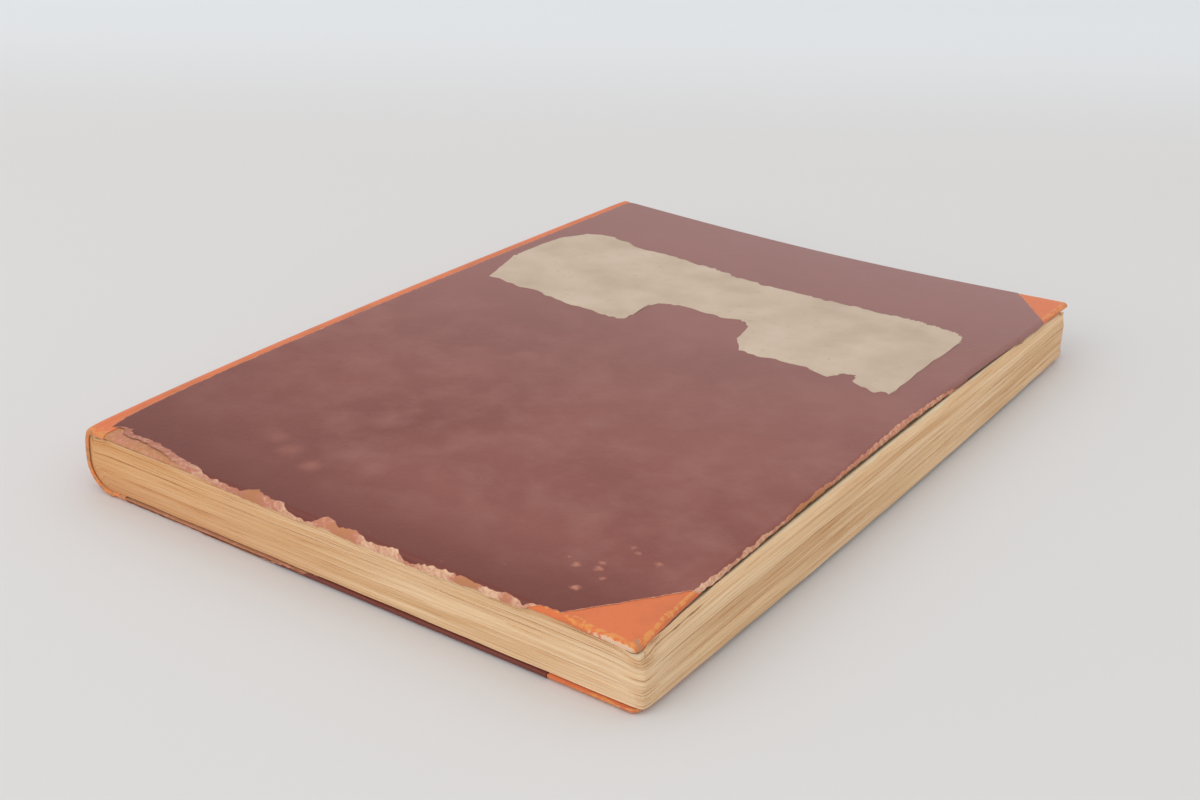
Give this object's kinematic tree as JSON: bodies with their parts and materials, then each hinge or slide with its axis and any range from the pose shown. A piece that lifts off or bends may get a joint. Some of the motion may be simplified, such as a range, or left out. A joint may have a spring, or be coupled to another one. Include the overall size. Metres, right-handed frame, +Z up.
{
  "type": "hardback book",
  "caption": "Old hardback book in half cloth: rounded back, gathered leaves, cloth spine and corners, worn side papers, torn blank label, covers that open.",
  "frame": {"origin": "centre of the footprint on the plane that the back cover lies on", "axes": "+X from the spine to the fore-edge, +Y from the tail to the head, +Z up through the front cover"},
  "size_m": [0.1704, 0.24, 0.0187],
  "materials": {
    "leaves": "matt, aged, tanned edges",
    "lining_paper": "matt brown paper",
    "gauze": "open starched gauze",
    "orange_cloth": "book cloth, fine weave, worn edges",
    "maroon_paper": "rubbed side paper, slight sheen",
    "grey_board": "rough greyish brown board",
    "endpaper": "matt",
    "label_paper": "torn, mottled, matt"
  },
  "bodies": {
    "text_block": {"text_block": "leaves", "spine_lining": "lining_paper", "spine_mull": "gauze", "spine_cloth": "orange_cloth"},
    "front_cover": {"front_board": "grey_board", "front_side_paper": "maroon_paper", "front_tail_corner": "orange_cloth", "front_head_corner": "orange_cloth", "front_hinge_cloth": "orange_cloth", "front_mull_flap": "gauze", "front_pastedown": "endpaper", "front_label": "label_paper"},
    "back_cover": {"back_board": "grey_board", "back_side_paper": "maroon_paper", "back_tail_corner": "orange_cloth", "back_head_corner": "orange_cloth", "back_hinge_cloth": "orange_cloth", "back_mull_flap": "gauze", "back_pastedown": "endpaper"}
  },
  "joints": [
    {"name": "front_joint", "type": "hinge", "parent": "text_block", "child": "front_cover", "pos_m": [-0.07975, 0, 0.01865], "axis": [0, -1, 0], "range_deg": [0, 180]},
    {"name": "back_joint", "type": "hinge", "parent": "text_block", "child": "back_cover", "pos_m": [-0.07375, 0, -0.00015], "axis": [0, 1, 0], "range_deg": [0, 180]}
  ]
}
